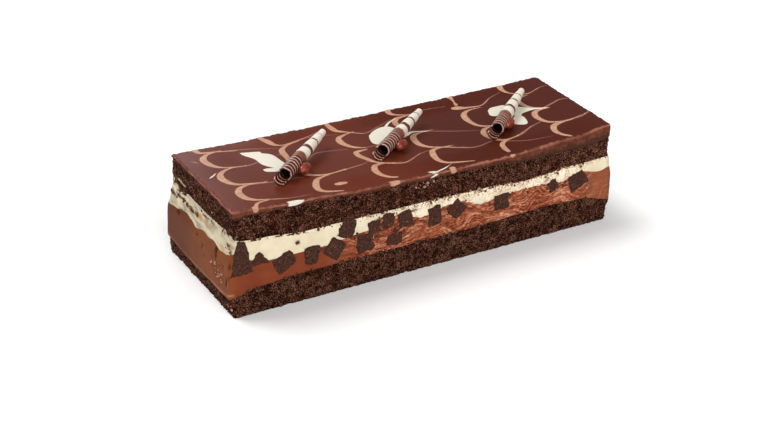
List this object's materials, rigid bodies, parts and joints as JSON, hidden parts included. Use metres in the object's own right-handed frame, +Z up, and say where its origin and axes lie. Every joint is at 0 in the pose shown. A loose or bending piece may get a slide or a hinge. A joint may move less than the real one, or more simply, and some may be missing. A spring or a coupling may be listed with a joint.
{
  "type": "chocolate mousse cake",
  "caption": "Long bar cake of dark sponges, chocolate mousse, cream and brownie chunks, with a marbled chocolate glaze, rolled curls and beans on top.",
  "frame": {"origin": "middle of the flat base, on the surface that the cake stands on", "axes": "+X along the bar, +Y towards its back face, +Z up through the layers"},
  "size_m": [0.2978, 0.0998, 0.0828],
  "materials": {
    "sponge": "dark chocolate sponge with an open moist crumb",
    "mousse": "smooth milk chocolate mousse, satin",
    "cream": "ivory cream, soft satin",
    "glaze": "set chocolate glaze, satin sheen, marbled in caramel and white",
    "brownie": "dense fudgy brownie, cut face",
    "curl": "striped white and dark chocolate shaving, satin",
    "bean": "polished chocolate shell, glossy"
  },
  "bodies": {
    "root": {"sponge_base": "sponge", "chocolate_mousse": "mousse", "cream_layer": "cream", "sponge_top": "sponge", "glaze": "glaze", "brownie_front_01": "brownie", "brownie_front_02": "brownie", "brownie_front_03": "brownie", "brownie_front_04": "brownie", "brownie_front_05": "brownie", "brownie_front_06": "brownie", "brownie_front_07": "brownie", "brownie_front_08": "brownie", "brownie_front_09": "brownie", "brownie_front_10": "brownie", "brownie_front_11": "brownie", "brownie_front_12": "brownie", "brownie_front_13": "brownie", "brownie_front_14": "brownie", "brownie_front_15": "brownie", "brownie_front_16": "brownie", "brownie_back_01": "brownie", "brownie_back_02": "brownie", "brownie_back_03": "brownie", "brownie_back_04": "brownie", "brownie_back_05": "brownie", "brownie_back_06": "brownie", "brownie_back_07": "brownie", "brownie_back_08": "brownie", "brownie_back_09": "brownie", "brownie_back_10": "brownie", "brownie_back_11": "brownie", "brownie_back_12": "brownie", "brownie_back_13": "brownie", "curl_left": "curl", "curl_middle": "curl", "curl_right": "curl", "bean_left": "bean", "bean_middle": "bean", "bean_right": "bean"}
  },
  "joints": []
}
